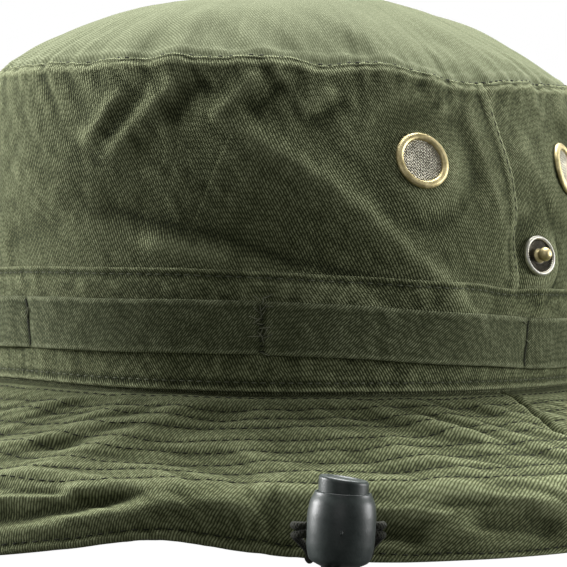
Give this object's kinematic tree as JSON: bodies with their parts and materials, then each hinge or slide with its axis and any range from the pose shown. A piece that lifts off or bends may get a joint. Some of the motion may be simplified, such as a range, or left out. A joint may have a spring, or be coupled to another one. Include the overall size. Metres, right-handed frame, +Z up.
{
  "type": "bucket hat",
  "caption": "Soft twill bucket hat of boonie pattern with quilted brim, screened vents, loop band, snap-up brim sides and a chin cord with a sliding lock",
  "frame": {"origin": "middle of the head oval, on the plane that the brim edge stands on", "axes": "+Z up through the crown, -Y is the front of the hat, the side seams are at +X and -X"},
  "size_m": [0.289, 0.3088, 0.1639],
  "materials": {
    "olive_twill": "washed cotton twill, olive green, matt with a soft sheen on worn folds",
    "webbing": "darker olive twill tape, matt",
    "lining_cloth": "plain cotton tape and sweatband cloth, matt",
    "interlining": "stiff natural cotton interlining, hidden",
    "brass_fittings": "pale worn brass",
    "vent_wire": "dull woven wire",
    "lock_plastic": "dark grey-green moulded plastic, satin",
    "spring_steel": "bright spring wire",
    "cord": "dark braided cord"
  },
  "bodies": {
    "hat": {"brim_interlining_back": "interlining", "brim_interlining_front": "interlining", "brim_lower_back": "olive_twill", "brim_lower_front": "olive_twill", "brim_upper_back": "olive_twill", "brim_upper_front": "olive_twill", "chin_cord_knot": "cord", "chin_cord_left": "cord", "chin_cord_right": "cord", "chin_tab_left": "webbing", "chin_tab_right": "webbing", "cord_lock_body": "lock_plastic", "cord_lock_spring": "spring_steel", "crown_band": "olive_twill", "crown_panel_back": "olive_twill", "crown_panel_front": "olive_twill", "crown_tip": "olive_twill", "loop_band": "webbing", "loop_band_tacks": "webbing", "side_seam_binding_left": "lining_cloth", "side_seam_binding_right": "lining_cloth", "snap_stud_back_left": "brass_fittings", "snap_stud_back_right": "brass_fittings", "snap_stud_left": "brass_fittings", "snap_stud_right": "brass_fittings", "sweatband": "lining_cloth", "tip_seam_binding": "lining_cloth", "vent_back_left_mesh": "vent_wire", "vent_back_left_ring": "brass_fittings", "vent_back_left_washer": "brass_fittings", "vent_back_right_mesh": "vent_wire", "vent_back_right_ring": "brass_fittings", "vent_back_right_washer": "brass_fittings", "vent_front_left_mesh": "vent_wire", "vent_front_left_ring": "brass_fittings", "vent_front_left_washer": "brass_fittings", "vent_front_right_mesh": "vent_wire", "vent_front_right_ring": "brass_fittings", "vent_front_right_washer": "brass_fittings"},
    "flap_right": {"brim_flap_right_interlining": "interlining", "brim_flap_right_lower": "olive_twill", "brim_flap_right_upper": "olive_twill", "snap_cap_right": "brass_fittings", "snap_socket_right": "brass_fittings"},
    "flap_left": {"brim_flap_left_interlining": "interlining", "brim_flap_left_lower": "olive_twill", "brim_flap_left_upper": "olive_twill", "snap_cap_left": "brass_fittings", "snap_socket_left": "brass_fittings"},
    "lock_plunger": {"cord_lock_plunger": "lock_plastic"}
  },
  "joints": [
    {"name": "flap_right_fold", "type": "hinge", "parent": "hat", "child": "flap_right", "pos_m": [0.0933, 0.01146, 0.0416], "axis": [0.1219, -0.9925, 0], "range_deg": [0, 114]},
    {"name": "flap_left_fold", "type": "hinge", "parent": "hat", "child": "flap_left", "pos_m": [-0.0933, 0.01146, 0.0416], "axis": [0.1219, 0.9925, 0], "range_deg": [0, 114]},
    {"name": "plunger_press", "type": "slide", "parent": "hat", "child": "lock_plunger", "axis": [0, 0, -1], "range_m": [0, 0.003], "stiffness_N_per_m": 300, "deforming": ["cord_lock_spring"]}
  ]
}
